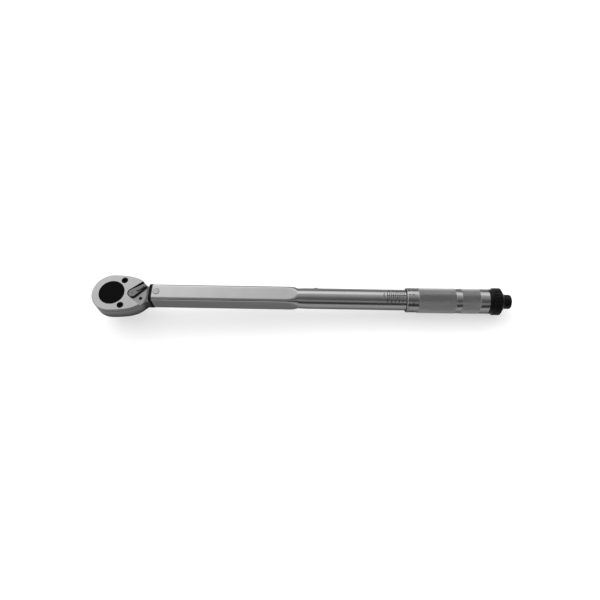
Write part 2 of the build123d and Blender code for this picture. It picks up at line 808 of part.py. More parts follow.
with BuildPart() as adjusting_spindle:
    revolve(
        turned(
            (spindle_start_x + 2.1, 0),
            (spindle_start_x, thrust_ball_radius),
            (spindle_start_x, spindle_shank_radius),
            (thread_start_x, spindle_shank_radius),
            (thread_start_x + 1.0, thread_radius),
            (thread_end_x - 1.0, thread_radius),
            (thread_end_x, spindle_shank_radius),
            (spindle_end_x, spindle_shank_radius),
            (spindle_end_x, rod_radius + 0.1),
            (rod_start_x - 3.0, rod_radius + 0.1),
            (rod_start_x - 3.0, 0),
        ),
        axis=tube_axis,
    )
    # cross hole for the two lock pins
    with BuildSketch(Plane(origin=(lock_pin_x, 0, tube_z), z_dir=(0, 1, 0))):
        Circle(lock_pin_radius + running_gap)
    extrude(amount=thread_radius + 1.0, both=True, mode=Mode.SUBTRACT)
    # slot for the lock rod's cross pin
    with Locations((rod_pin_x - 0.8, 0, tube_z)):
        Box(4.2, 2 * rod_pin_radius + 0.1, 20.0, mode=Mode.SUBTRACT)
adjusting_spindle.part.label = "adjusting_spindle"
export_step(adjusting_spindle.part, "parts/adjusting_spindle.step")

with BuildPart() as lock_pins:
    for side in (1, -1):
        pin_foot = (lock_pin_x, side * (rod_radius + 0.06), tube_z)
        with BuildSketch(Plane(origin=pin_foot, z_dir=(0, side, 0))):
            Circle(lock_pin_radius)
        extrude(amount=thread_radius - rod_radius - 0.4)
lock_pins.part.label = "lock_pins"
export_step(lock_pins.part, "parts/lock_pins.step")

with BuildPart() as grip_sleeve:
    revolve(
        turned(
            (sleeve_start_x, sleeve_bore),
            (sleeve_start_x, front_band_radius - 0.7),
            (sleeve_start_x + 0.7, front_band_radius),
            (front_knurl_x[0] - 0.5, front_band_radius),
            (front_knurl_x[0], front_knurl_radius),
            (front_knurl_x[1], front_knurl_radius),
            (front_knurl_x[1] + 0.4, groove_radius),
            (rear_knurl_x[0] - 0.3, groove_radius),
            (rear_knurl_x[0], rear_knurl_radius),
            (rear_knurl_x[1], rear_knurl_radius),
            (rear_knurl_x[1] + 0.3, rear_band_radius),
            (sleeve_end_x - 0.3, rear_band_radius),
            (sleeve_end_x, rear_band_radius - 0.3),
            (sleeve_end_x, plug_radius),
            (plug_start_x - 1.0, plug_radius),
            (plug_start_x - 1.7, sleeve_bore),
        ),
        axis=tube_axis,
    )
grip_sleeve.part.label = "grip_sleeve"
export_step(grip_sleeve.part, "parts/grip_sleeve.step")

with BuildPart() as grip_end_plug:
    revolve(
        turned(
            (plug_start_x, spindle_shank_radius),
            (plug_start_x, plug_radius),
            (sleeve_end_x, plug_radius),
            (sleeve_end_x, hub_radius),
            (clip_x, hub_radius),
            (clip_x, hub_radius - 0.8),
            (clip_x + 0.75, hub_radius - 0.8),
            (clip_x + 0.75, hub_radius),
            (hub_end_x, hub_radius),
            (hub_end_x, rod_radius + 0.7),
            (spindle_end_x, rod_radius + 0.7),
            (spindle_end_x, spindle_shank_radius),
        ),
        axis=tube_axis,
    )
    for side in (1, -1):
        with BuildSketch(Plane(origin=(set_screw_x, 0, tube_z), z_dir=(0, side, 0))):
            Circle(set_screw_radius)
        extrude(amount=cut_through, mode=Mode.SUBTRACT)
grip_end_plug.part.label = "grip_end_plug"
export_step(grip_end_plug.part, "parts/grip_end_plug.step")

with BuildPart() as spindle_set_screws:
    for side in (1, -1):
        screw_tip = (set_screw_x, side * (spindle_shank_radius + running_gap), tube_z)
        with BuildSketch(Plane(origin=screw_tip, z_dir=(0, side, 0))):
            Circle(set_screw_radius)
        extrude(amount=plug_radius - spindle_shank_radius - 0.6)
spindle_set_screws.part.label = "spindle_set_screws"
export_step(spindle_set_screws.part, "parts/spindle_set_screws.step")

with BuildPart() as lock_ring_clip:
    with BuildSketch(across(clip_x + 0.03)):
        Circle(9.6)
        Circle(hub_radius - 0.75, mode=Mode.SUBTRACT)
        with Locations((0, -10.0)):
            Rectangle(3.0, 20.0, mode=Mode.SUBTRACT)
    extrude(amount=0.65)
lock_ring_clip.part.label = "lock_ring_clip"
export_step(lock_ring_clip.part, "parts/lock_ring_clip.step")

# ================= lock ring, end cap and lock rod =================

with BuildPart() as lock_ring:
    revolve(
        turned(
            (sleeve_end_x + lock_gap, hub_radius + running_gap),
            (sleeve_end_x + lock_gap, lock_front_radius - 0.3),
            (sleeve_end_x + lock_gap + 0.3, lock_front_radius),
            (lock_rib_x[0] - 0.8, lock_front_radius),
            (lock_rib_x[0], lock_rib_radius),
            (lock_rib_x[1], lock_rib_radius),
            (lock_end_x - 0.6, lock_rear_radius + 0.6),
            (lock_end_x, lock_rear_radius),
            (lock_end_x, cap_seat_radius),
            (lock_end_x - cap_seat_depth, cap_seat_radius),
            (lock_end_x - cap_seat_depth, rod_thread_radius + running_gap),
            (hub_end_x + 1.0, rod_thread_radius + running_gap),
            (hub_end_x + 1.0, clip_room_radius),
            (clip_x - 0.15, clip_room_radius),
            (clip_x - 0.15, hub_radius + running_gap),
        ),
        axis=tube_axis,
    )
    with BuildSketch(across(lock_rib_x[0] - 1.0)):
        with PolarLocations(lock_rib_radius + 0.35, rib_groove_count):
            Circle(rib_groove_radius)
    extrude(amount=cut_through, mode=Mode.SUBTRACT)
lock_ring.part.label = "lock_ring"
export_step(lock_ring.part, "parts/lock_ring.step")

with BuildPart() as lock_end_cap:
    revolve(
        turned(
            (lock_end_x - cap_seat_depth + 0.2, 0),
            (lock_end_x - cap_seat_depth + 0.2, cap_seat_radius),
            (lock_end_x, cap_seat_radius),
            (lock_end_x, cap_radius),
            (cap_end_x, cap_radius),
            (cap_end_x, 0),
        ),
        axis=tube_axis,
    )
    fillet(lock_end_cap.faces().sort_by(Axis.X)[-1].edges(), cap_rounding)
lock_end_cap.part.label = "lock_end_cap"
export_step(lock_end_cap.part, "parts/lock_end_cap.step")

with BuildPart() as lock_rod:
    revolve(
        turned(
            (rod_start_x, 0),
            (rod_start_x, 1.3),
            (lock_pin_x - lock_pin_radius, 1.3),
            (lock_pin_x + lock_pin_radius, rod_radius),
            (hub_end_x - 4.0, rod_radius),
            (hub_end_x - 4.0, rod_thread_radius),
            (rod_end_x, rod_thread_radius),
            (rod_end_x, 0),
        ),
        axis=tube_axis,
    )
    with Locations((rod_pin_x, 0, tube_z)):
        Cylinder(rod_pin_radius, cut_through, mode=Mode.SUBTRACT)
lock_rod.part.label = "lock_rod"
export_step(lock_rod.part, "parts/lock_rod.step")

with BuildPart() as lock_rod_pin:
    with Locations((rod_pin_x, 0, tube_z)):
        Cylinder(rod_pin_radius, rod_pin_length)
lock_rod_pin.part.label = "lock_rod_pin"
export_step(lock_rod_pin.part, "parts/lock_rod_pin.step")
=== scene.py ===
import math

import bmesh
import bpy
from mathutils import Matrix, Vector


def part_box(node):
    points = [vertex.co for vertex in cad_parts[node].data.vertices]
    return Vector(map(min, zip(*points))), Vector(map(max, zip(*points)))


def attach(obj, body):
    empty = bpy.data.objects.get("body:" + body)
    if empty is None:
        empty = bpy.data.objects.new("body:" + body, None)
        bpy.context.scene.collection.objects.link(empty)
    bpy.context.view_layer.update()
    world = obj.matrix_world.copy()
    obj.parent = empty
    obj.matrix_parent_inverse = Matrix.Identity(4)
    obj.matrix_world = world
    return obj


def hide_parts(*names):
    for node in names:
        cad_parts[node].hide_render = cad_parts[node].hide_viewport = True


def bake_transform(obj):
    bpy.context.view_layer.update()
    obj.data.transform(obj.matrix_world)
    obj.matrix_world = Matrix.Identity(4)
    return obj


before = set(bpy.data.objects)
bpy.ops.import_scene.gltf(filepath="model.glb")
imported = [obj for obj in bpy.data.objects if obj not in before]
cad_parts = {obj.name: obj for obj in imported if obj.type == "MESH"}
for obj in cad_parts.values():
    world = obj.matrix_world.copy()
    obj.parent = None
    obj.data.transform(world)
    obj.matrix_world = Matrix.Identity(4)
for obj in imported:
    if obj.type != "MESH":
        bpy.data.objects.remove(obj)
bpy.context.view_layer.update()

# Click-type torque wrench. Metres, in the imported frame: X runs from the drive axis to the grip, Z up.
MM = 0.001

ring_low, ring_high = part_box("lock_ring")
tube_low, tube_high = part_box("tube")
sleeve_low, sleeve_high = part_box("grip_sleeve")
plate_low, plate_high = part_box("cover_plate")
gear_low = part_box("drive_gear")[0]
head_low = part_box("ratchet_head")[0]
AXIS_Z = (ring_low.z + ring_high.z) / 2
TUBE_RADIUS = (tube_high.z - tube_low.z) / 2


# ---------------------------------------------------------------- shader nodes

def grey(tone):
    """An opaque grey."""
    return (tone, tone, tone, 1.0)


def feed(tree, socket, given):
    """Links another node's output to the socket, or sets the socket to a plain value."""
    if isinstance(given, bpy.types.NodeSocket):
        tree.links.new(given, socket)
    else:
        socket.default_value = given


def node_material(name, metallic, roughness, tone):
    """A grey Principled material, with its node tree and its shader."""
    material = bpy.data.materials.new(name)
    material.use_nodes = True
    tree = material.node_tree
    shader = tree.nodes["Principled BSDF"]
    shader.inputs["Metallic"].default_value = metallic
    shader.inputs["Roughness"].default_value = roughness
    shader.inputs["Base Color"].default_value = grey(tone)
    return material, tree, shader


def coordinates(tree, source):
    """The X, Y and Z outputs of a texture coordinate, such as Normal or Object."""
    place = tree.nodes.new("ShaderNodeTexCoord")
    split = tree.nodes.new("ShaderNodeSeparateXYZ")
    tree.links.new(place.outputs[source], split.inputs["Vector"])
    return split.outputs


def grain(tree, scale, detail, stretch=(1, 1, 1)):
    """Noise in object space, stretched along the axes; most of it lies within GRAIN_SPAN."""
    place = tree.nodes.new("ShaderNodeTexCoord")
    mapping = tree.nodes.new("ShaderNodeMapping")
    mapping.inputs["Scale"].default_value = stretch
    noise = tree.nodes.new("ShaderNodeTexNoise")
    noise.inputs["Scale"].default_value = scale
    noise.inputs["Detail"].default_value = detail
    tree.links.new(place.outputs["Object"], mapping.inputs["Vector"])
    tree.links.new(mapping.outputs["Vector"], noise.inputs["Vector"])
    return noise.outputs["Fac"]


def map_range(tree, value, source, target=(0.0, 1.0), smooth=False):
    """Maps a value from one (start, end) range to another, with soft ends if smooth."""
    span = tree.nodes.new("ShaderNodeMapRange")
    if smooth:
        span.interpolation_type = "SMOOTHSTEP"
    for socket, number in zip(("From Min", "From Max", "To Min", "To Max"), (*source, *target)):
        span.inputs[socket].default_value = number
    tree.links.new(value, span.inputs["Value"])
    return span.outputs["Result"]


def mix_colours(tree, blend, factor, first, second):
    """Blends two colours; each of the last three is an output or a plain value."""
    mix = tree.nodes.new("ShaderNodeMix")
    mix.data_type = "RGBA"
    mix.blend_type = blend
    feed(tree, mix.inputs["Factor"], factor)
    feed(tree, mix.inputs["A"], first)
    feed(tree, mix.inputs["B"], second)
    return mix.outputs["Result"]


def tone_ramp(tree, value, stops, interpolation="LINEAR"):
    """A ramp of greys through (position, tone) stops."""
    ramp = tree.nodes.new("ShaderNodeValToRGB")
    ramp.color_ramp.interpolation = interpolation
    elements = ramp.color_ramp.elements
    while len(elements) < len(stops):
        elements.new(0.5)
    for element, (position, tone) in zip(elements, stops):
        element.position = position
        element.color = grey(tone)
    tree.links.new(value, ramp.inputs["Fac"])
    return ramp.outputs["Color"]


def math_node(tree, operation, *given):
    """A Math node; each of its inputs is an output or a plain number."""
    node = tree.nodes.new("ShaderNodeMath")
    node.operation = operation
    for socket, value in zip(node.inputs, given):
        feed(tree, socket, value)
    return node.outputs["Value"]


def bump(tree, shader, height, distance, strength):
    """Adds a bump, or stacks it on the one that is there."""
    relief = tree.nodes.new("ShaderNodeBump")
    relief.inputs["Distance"].default_value = distance
    relief.inputs["Strength"].default_value = strength
    tree.links.new(height, relief.inputs["Height"])
    if shader.inputs["Normal"].is_linked:
        tree.links.new(shader.inputs["Normal"].links[0].from_socket, relief.inputs["Normal"])
    tree.links.new(relief.outputs["Normal"], shader.inputs["Normal"])


def multiply_base(tree, factor):
    """Multiplies the base colour by another node's output."""
    base = tree.nodes["Principled BSDF"].inputs["Base Color"]
    product = mix_colours(tree, "MULTIPLY", 1.0, base.links[0].from_socket, factor)
    tree.links.new(product, base)


def shade(material, source, axis, start, end, share):
    """Dims the base colour to a share of itself as a coordinate (Normal or Object) goes from start to end."""
    tree = material.node_tree
    place = coordinates(tree, source)[axis]
    multiply_base(tree, map_range(tree, place, (start, end), (1.0, share), smooth=True))


# ---------------------------------------------------------------- materials

# Most of a noise lies in this range, which is mapped to a roughness's full range.
GRAIN_SPAN = (0.3, 0.7)
# How bright plated steel gets when it is seen at a grazing angle.
EDGE_TINT = 0.55


def metal(name, tone, roughness, lines, line_strength, mottle=0.06):
    """Plated or ground steel: fine lines or an even satin, slight clouding and a soft orange peel."""
    material, tree, shader = node_material(name, 1.0, roughness, tone)
    fine = grain(tree, scale=1.0, detail=6.0, stretch=lines)
    cloud = grain(tree, scale=55.0, detail=3.0)
    peel = grain(tree, scale=900.0, detail=2.0)
    sheen = map_range(tree, fine, GRAIN_SPAN, (roughness * 0.8, roughness * 1.25))
    tree.links.new(sheen, shader.inputs["Roughness"])
    clouded = mix_colours(tree, "MIX", cloud, grey(tone * (1 - mottle)), grey(tone * (1 + mottle)))
    tree.links.new(clouded, shader.inputs["Base Color"])
    bump(tree, shader, fine, distance=0.02 * MM, strength=line_strength)
    bump(tree, shader, peel, distance=0.01 * MM, strength=0.12)
    shader.inputs["Specular Tint"].default_value = grey(EDGE_TINT)
    return material


def black_finish(name, tone, roughness, scale, relief, gloss):
    """Black plastic, rubber or oxide: a fine grained skin with a slight change of tone."""
    material, tree, shader = node_material(name, 0.0, roughness, tone)
    shader.inputs["Specular IOR Level"].default_value = gloss
    skin = grain(tree, scale, detail=5.0)
    cloud = grain(tree, scale=90.0, detail=3.0)
    sheen = map_range(tree, cloud, GRAIN_SPAN, (roughness * 0.85, min(roughness * 1.2, 1.0)))
    tree.links.new(sheen, shader.inputs["Roughness"])
    speckled = mix_colours(tree, "MIX", skin, grey(tone * 0.7), grey(tone * 1.6))
    tree.links.new(speckled, shader.inputs["Base Color"])
    bump(tree, shader, skin, distance=0.03 * MM, strength=relief)
    return material


# The grip's colour attribute: painted shade on the front rim, the knurl's valleys, the walls beside the
# knurl, the bore, the knurl's crests and the smooth bands.
RIM_SHADE, VALLEY, WALL, BORE, CREST, BAND = 0.0, 0.1, 0.35, 0.4, 0.8, 1.0


def knurled_metal(name):
    """Chrome toned by the mesh's colour attribute; the knurl is rougher than the bands."""
    material = metal(name, tone=0.94, roughness=0.22, lines=(300, 4000, 4000), line_strength=0.1)
    tree = material.node_tree
    relief = tree.nodes.new("ShaderNodeVertexColor")
    relief.layer_name = "relief"
    depth = relief.outputs["Color"]
    # Painted shade: the front rim and the knurl's valleys get a far darker base colour than the crests.
    tones = ((RIM_SHADE, 0.03), (VALLEY, 0.17), (CREST, 0.38), (BAND, 0.205))
    multiply_base(tree, tone_ramp(tree, depth, tones))
    knurl_roughness, band_roughness = 0.38, 0.20
    dullness = map_range(tree, depth, (CREST, BAND), (knurl_roughness, band_roughness))
    tree.links.new(dullness, tree.nodes["Principled BSDF"].inputs["Roughness"])
    return material


SATIN = (900, 900, 900)
HEAD_CHROME = metal("head_chrome", tone=0.168, roughness=0.30, lines=SATIN, line_strength=0.25)
PLATE_CHROME = metal("plate_chrome", tone=0.168, roughness=0.30, lines=SATIN, line_strength=0.25)
PIN_CHROME = metal("pin_chrome", tone=0.165, roughness=0.24, lines=SATIN, line_strength=0.25)
TUBE_CHROME = metal("tube_chrome", tone=0.21, roughness=0.20, lines=(60, 5200, 5200), line_strength=0.35)
GRIP_CHROME = knurled_metal("grip_chrome")
LEVER_CHROME = metal("lever_chrome", tone=0.070, roughness=0.26, lines=(1500, 1500, 1500), line_strength=0.25)
GROUND_STEEL = metal(
    "ground_steel", tone=0.25, roughness=0.30, lines=(500, 3600, 3600), line_strength=0.4, mottle=0.1
)
SPRING_STEEL = metal(
    "spring_steel", tone=0.12, roughness=0.38, lines=(2500, 2500, 2500), line_strength=0.3, mottle=0.15
)
BLACK_OXIDE = black_finish("black_oxide", tone=0.0028, roughness=0.42, scale=1600, relief=0.12, gloss=0.005)
BLACK_PLASTIC = black_finish("black_plastic", tone=0.003, roughness=0.34, scale=2600, relief=0.2, gloss=0.06)
BLACK_RUBBER = black_finish("black_rubber", tone=0.004, roughness=0.72, scale=1800, relief=0.3, gloss=0.05)
MARK_PAINT = black_finish("mark_paint", tone=0.003, roughness=0.55, scale=3000, relief=0.15, gloss=0.05)
SCALE_INK = black_finish("scale_ink", tone=0.006, roughness=0.60, scale=3000, relief=0.15, gloss=0.05)

# Painted shade: the base colour darkens on faces that turn downwards.
for chrome in (TUBE_CHROME, GRIP_CHROME):
    shade(chrome, "Normal", "Z", start=0.40, end=-0.45, share=0.45)
# Painted shade: the head's base colour darkens down its side and towards the tube's mouth, and the plate's
# darkens down into the lever's recess.
shade(HEAD_CHROME, "Object", "Z", start=plate_low.z + 1.5 * MM, end=head_low.z, share=0.28)
shade(HEAD_CHROME, "Object", "X", start=plate_high.x - 5.0 * MM, end=plate_high.x, share=0.30)
shade(PLATE_CHROME, "Object", "Z", start=plate_high.z - 0.4 * MM, end=plate_high.z - 2.5 * MM, share=0.66)

NODE_FINISH = {
    HEAD_CHROME: ("ratchet_head",),
    PLATE_CHROME: ("cover_plate",),
    PIN_CHROME: ("pivot_pin",),
    LEVER_CHROME: ("reversing_lever",),
    TUBE_CHROME: ("tube",),
    GRIP_CHROME: ("grip_sleeve",),
    GROUND_STEEL: (
        "ratchet_pawl", "pawl_plunger", "spindle_nut", "nut_pins", "click_block", "spring_plunger",
        "spring_follower", "thrust_ball", "adjusting_spindle", "lock_pins", "grip_end_plug",
        "lock_rod", "lock_rod_pin", "detent_ball",
    ),
    SPRING_STEEL: ("detent_spring", "lever_spring", "main_spring", "lever_clip", "lock_ring_clip"),
    BLACK_OXIDE: ("drive_gear", "cover_screws", "guide_screw", "spindle_set_screws"),
    BLACK_PLASTIC: ("lock_ring", "lock_end_cap"),
    MARK_PAINT: ("direction_marks",),
    BLACK_RUBBER: ("tube_mouth_seal",),
}


def finish_nodes():
    """Gives every CAD node its material."""
    for material, names in NODE_FINISH.items():
        for name in names:
            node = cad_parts[name]
            node.data.materials.clear()
            node.data.materials.append(material)


# ---------------------------------------------------------------- mesh helpers

def mesh_object(name, vertices, faces, material, body=None):
    """A new piece from plain lists in the row frame, riding on a body if one is given."""
    mesh = bpy.data.meshes.new(name)
    mesh.from_pydata(vertices, [], faces)
    mesh.validate()
    piece = bpy.data.objects.new(name, mesh)
    bpy.context.scene.collection.objects.link(piece)
    mesh.materials.append(material)
    if body:
        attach(piece, body)
    return piece


def sharpen(piece, degrees):
    """Smooth shading everywhere but across edges that turn by more than some degrees."""
    bm = bmesh.new()
    bm.from_mesh(piece.data)
    bmesh.ops.recalc_face_normals(bm, faces=bm.faces)
    for face in bm.faces:
        face.smooth = True
    for edge in bm.edges:
        if len(edge.link_faces) == 2:
            edge.smooth = edge.calc_face_angle(0.0) < math.radians(degrees)
    bm.to_mesh(piece.data)
    bm.free()


def around(x, radius, angle):
    """A point on the tube's cylinder: angle 0 is the top, and it grows towards +Y."""
    return Vector((x, radius * math.sin(angle), AXIS_Z + radius * math.cos(angle)))


# ---------------------------------------------------------------- knurled sleeve

KNURLS_AROUND = 84
KNURL_LENGTH = 1.75 * MM
KNURL_DEPTH = 0.36 * MM
# Half of a diamond's flat top, in lathe columns around and as a share of a row's pace along.
FLAT_SHARE = 0.30
END_ROW_DROP = 0.12 * MM
KNURL_CREASE = 24
LATHE_COLUMNS = 2 * KNURLS_AROUND
STEP = 2 * math.pi / LATHE_COLUMNS

SLEEVE_START = sleeve_low.x
SLEEVE_END = sleeve_high.x
SLEEVE_RADIUS = (sleeve_high.z - sleeve_low.z) / 2
BAND_RADIUS = SLEEVE_RADIUS - 0.5 * MM
REAR_BAND_RADIUS = BAND_RADIUS + 0.1 * MM
REAR_KNURL_DROP = 0.1 * MM
SLEEVE_BORE = TUBE_RADIUS + 0.09 * MM
FRONT_KNURL = (SLEEVE_START + 12.6 * MM, SLEEVE_START + 51.6 * MM)
REAR_KNURL = (SLEEVE_START + 58.1 * MM, SLEEVE_START + 77.1 * MM)
# A band's last stretch, where its tone changes beside the knurl and its edge is broken at the rear.
BAND_EDGE = 0.35 * MM
# The wider bore at the rear, which takes the end plug, and where the bore for the tube ends.
PLUG_SEAT_RADIUS = 11.9 * MM
PLUG_SEAT_START = SLEEVE_START + 65.6 * MM
SLEEVE_BORE_END = SLEEVE_START + 64.9 * MM


class Shape:
    """Vertices with a relief value each, and the faces between them."""

    def __init__(self):
        self.vertices = []
        self.relief = []
        self.faces = []

    def add(self, x, radius, column, relief):
        """Adds a point at a lathe column, which may be a fraction, and returns its number."""
        self.vertices.append(around(x, radius, column * STEP))
        self.relief.append(relief)
        return len(self.vertices) - 1

    def ring(self, x, radius, relief):
        """Adds a full ring of points and returns their numbers."""
        return [self.add(x, radius, column, relief) for column in range(LATHE_COLUMNS)]

    def join(self, first, second):
        """Quads between two rings."""
        for column in range(LATHE_COLUMNS):
            after = (column + 1) % LATHE_COLUMNS
            self.faces.append((first[column], first[after], second[after], second[column]))

    def lathe(self, profile):
        """Joined rings along a profile of (x, radius, relief); returns the first and the last."""
        rings = [self.ring(*corner) for corner in profile]
        for first, second in zip(rings, rings[1:]):
            self.join(first, second)
        return rings[0], rings[-1]


def knurl(shape, start, end, crest, front_ring, rear_ring):
    """Covers start..end with flat-topped diamonds, walled off against the smooth ring at either end."""
    rows = 2 * round((end - start) / KNURL_LENGTH)
    pace = (end - start) / rows
    flat_along = FLAT_SHARE * pace
    valley = crest - KNURL_DEPTH
    # the valley corners take the darker tone: painted shade in the knurl's creases
    corners = [
        [shape.add(start + row * pace, valley, 2 * slot + row % 2, VALLEY) for slot in range(KNURLS_AROUND)]
        for row in range(rows + 1)
    ]
    for row in range(rows + 1):
        x = start + row * pace
        top = crest - END_ROW_DROP if row in (0, rows) else crest
        for slot in range(KNURLS_AROUND):
            # the diamond between two corners of this row
            left = corners[row][slot]
            right = corners[row][(slot + 1) % KNURLS_AROUND]
            middle = 2 * slot + 1 + row % 2
            tip = (slot + row % 2) % KNURLS_AROUND
            west = shape.add(x, top, middle - FLAT_SHARE, CREST)
            east = shape.add(x, top, middle + FLAT_SHARE, CREST)
            if row > 0:
                low = corners[row - 1][tip]
                south = shape.add(x - flat_along, crest, middle, CREST)
                shape.faces.append((left, west, south, low))
                shape.faces.append((low, south, east, right))
            if row < rows:
                high = corners[row + 1][tip]
                north = shape.add(x + flat_along, crest, middle, CREST)
                shape.faces.append((left, high, north, west))
                shape.faces.append((high, right, east, north))
            if row == 0:
                base = [front_ring[(2 * slot + column) % LATHE_COLUMNS] for column in range(3)]
                shape.faces.append((west, north, east))
                shape.faces.append((left, west, east, right, *reversed(base)))
            elif row == rows:
                base = [rear_ring[(2 * slot + column) % LATHE_COLUMNS] for column in range(3)]
                shape.faces.append((west, east, south))
                shape.faces.append((left, *base, right, east, west))
            else:
                shape.faces.append((west, north, east, south))


def knurled_sleeve():
    """The grip sleeve with its two knurled bands, in place of the plain CAD one."""
    shape = Shape()
    # The front face and its broken edge are painted dark as shade where the sleeve meets the tube.
    first, to_front = shape.lathe((
        (SLEEVE_START + 0.5 * MM, SLEEVE_BORE, RIM_SHADE),
        (SLEEVE_START, SLEEVE_BORE + 0.3 * MM, RIM_SHADE),
        (SLEEVE_START, BAND_RADIUS - 0.7 * MM, RIM_SHADE),
        (SLEEVE_START + 0.25 * MM, BAND_RADIUS - 0.35 * MM, RIM_SHADE),
        (SLEEVE_START + 0.7 * MM, BAND_RADIUS, BAND),
        (FRONT_KNURL[0] - BAND_EDGE, BAND_RADIUS, BAND),
        (FRONT_KNURL[0], BAND_RADIUS, WALL),
    ))
    from_front, to_rear = shape.lathe((
        (FRONT_KNURL[1], REAR_BAND_RADIUS, WALL),
        (FRONT_KNURL[1] + BAND_EDGE, REAR_BAND_RADIUS, BAND),
        (REAR_KNURL[0] - BAND_EDGE, REAR_BAND_RADIUS, BAND),
        (REAR_KNURL[0], REAR_BAND_RADIUS - REAR_KNURL_DROP, WALL),
    ))
    from_rear, last = shape.lathe((
        (REAR_KNURL[1], REAR_BAND_RADIUS - REAR_KNURL_DROP, WALL),
        (REAR_KNURL[1] + BAND_EDGE, REAR_BAND_RADIUS, BAND),
        (SLEEVE_END - BAND_EDGE, REAR_BAND_RADIUS, BAND),
        (SLEEVE_END, REAR_BAND_RADIUS - BAND_EDGE, BAND),
        (SLEEVE_END, PLUG_SEAT_RADIUS, CREST),
        (PLUG_SEAT_START, PLUG_SEAT_RADIUS, BORE),
        (SLEEVE_BORE_END, SLEEVE_BORE, BORE),
    ))
    shape.join(last, first)
    knurl(shape, *FRONT_KNURL, SLEEVE_RADIUS, to_front, from_front)
    knurl(shape, *REAR_KNURL, SLEEVE_RADIUS - REAR_KNURL_DROP, to_rear, from_rear)
    sleeve = mesh_object("grip_sleeve_knurled", shape.vertices, shape.faces, GRIP_CHROME, "grip")
    relief = sleeve.data.color_attributes.new("relief", "FLOAT_COLOR", "POINT")
    for value, height in zip(relief.data, shape.relief):
        value.color = grey(height)
    sharpen(sleeve, KNURL_CREASE)
    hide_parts("grip_sleeve")


# ---------------------------------------------------------------- coiled springs

COIL_STEPS = 36
WIRE_CORNERS = 14
WIRE_CREASE = 50
# The share of the main spring's length, from the plunger, at which its two parts meet.
SPRING_MEETING = 0.17


def coil(name, foot, head, side, radius, wire, turns, share=(0.0, 1.0)):
    """A helical spring from foot to head, or the share of it between two fractions of its length."""
    axis = (head - foot).normalized()
    side = side.normalized()
    other = axis.cross(side)
    rise = (head - foot).length - 2 * wire
    steps = max(2, round(COIL_STEPS * turns * (share[1] - share[0])))
    vertices = []
    faces = []
    for step in range(steps + 1):
        along = share[0] + (share[1] - share[0]) * step / steps
        turn = 2 * math.pi * turns * along
        outward = side * math.cos(turn) + other * math.sin(turn)
        heading = other * math.cos(turn) - side * math.sin(turn)
        heading = (heading * (2 * math.pi * turns * radius) + axis * rise).normalized()
        upward = heading.cross(outward)
        centre = foot + axis * (wire + rise * along) + outward * radius
        for corner in range(WIRE_CORNERS):
            angle = 2 * math.pi * corner / WIRE_CORNERS
            vertices.append(centre + (outward * math.cos(angle) + upward * math.sin(angle)) * wire)
    for step in range(steps):
        for corner in range(WIRE_CORNERS):
            after = (corner + 1) % WIRE_CORNERS
            here = step * WIRE_CORNERS
            there = here + WIRE_CORNERS
            faces.append((here + corner, here + after, there + after, there + corner))
    faces.append(tuple(range(WIRE_CORNERS)))
    faces.append(tuple(steps * WIRE_CORNERS + corner for corner in reversed(range(WIRE_CORNERS))))
    spring = mesh_object(name, vertices, faces, SPRING_STEEL)
    sharpen(spring, WIRE_CREASE)
    return spring


def springs():
    """Coils in place of the CAD springs: the main spring in two parts that meet at SPRING_MEETING, and the
    detent spring."""
    low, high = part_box("main_spring")
    foot = Vector((low.x, 0, AXIS_Z))
    head = Vector((high.x, 0, AXIS_Z))
    side = Vector((0, 1, 0))
    radius, wire, turns = 7.1 * MM, 1.8 * MM, 8
    front = coil("main_spring_front", foot, head, side, radius, wire, turns, (0.0, SPRING_MEETING))
    rear = coil("main_spring_rear", foot, head, side, radius, wire, turns, (SPRING_MEETING, 1.0))
    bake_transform(front)
    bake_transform(rear)
    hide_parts("main_spring")
    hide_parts("main_spring")
    low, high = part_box("detent_spring")
    foot = Vector((0, high.y, (low.z + high.z) / 2))
    head = Vector((0, low.y, foot.z))
    side = Vector((1, 0, 0))
    wire, turns = 0.24 * MM, 2.25
    detent = coil("detent_spring_coil", foot, head, side, high.x - wire, wire, turns)
    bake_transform(detent)
    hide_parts("detent_spring")


# ---------------------------------------------------------------- scale on the tube and the sleeve

# How far ink stands out of the metal and reaches into it, and the longest facet of a stripe round a cylinder.
INK_LIFT = 0.03 * MM
INK_DEPTH = 0.02 * MM
INK_FACET = math.radians(5)
# A capital's height as a share of the type size, and a stroke's thickening as a share of that height.
CAPITAL_SHARE = 0.72
BOLDNESS = 0.035

# The tube's ticks, one for each turn of the grip, in newton metres. The index line runs on under the sleeve.
FIRST_TICK_X = SLEEVE_START - 0.4 * MM
TICK_PITCH = 2.0 * MM
TICK_COUNT = 11
TICK_HALF_WIDTH = 0.30 * MM
SHORT_TICK_HALF_ARC = math.radians(16)
LONG_TICK_HALF_ARC = math.radians(21)
NUMERAL_ARC = math.radians(33)
FIRST_TORQUE = 40
TORQUE_PER_TURN = 16
INDEX_UNDER_SLEEVE = 30 * MM

DIVISIONS = 16
DIVISION_START = SLEEVE_START + 0.8 * MM
DIVISION_HALF_WIDTH = 0.26 * MM
SHORT_DIVISION = 2.2 * MM
LONG_DIVISION = 3.4 * MM


def stripe(shape, radius, x_range, angle_range):
    """A thin printed patch on a cylinder, with a rim so that it has some thickness."""
    spans = max(1, math.ceil(abs(angle_range[1] - angle_range[0]) / INK_FACET))
    start = len(shape.vertices)
    for step in range(spans + 1):
        angle = angle_range[0] + (angle_range[1] - angle_range[0]) * step / spans
        for x in x_range:
            for height in (radius - INK_DEPTH, radius + INK_LIFT):
                shape.vertices.append(around(x, height, angle))
    for step in range(spans):
        a = start + 4 * step
        b = a + 4
        shape.faces.append((a + 1, a + 3, b + 3, b + 1))
        shape.faces.append((a, b, b + 2, a + 2))
        shape.faces.append((a, a + 1, b + 1, b))
        shape.faces.append((a + 2, b + 2, b + 3, a + 3))
    end = start + 4 * spans
    shape.faces.append((start, start + 2, start + 3, start + 1))
    shape.faces.append((end, end + 1, end + 3, end + 2))


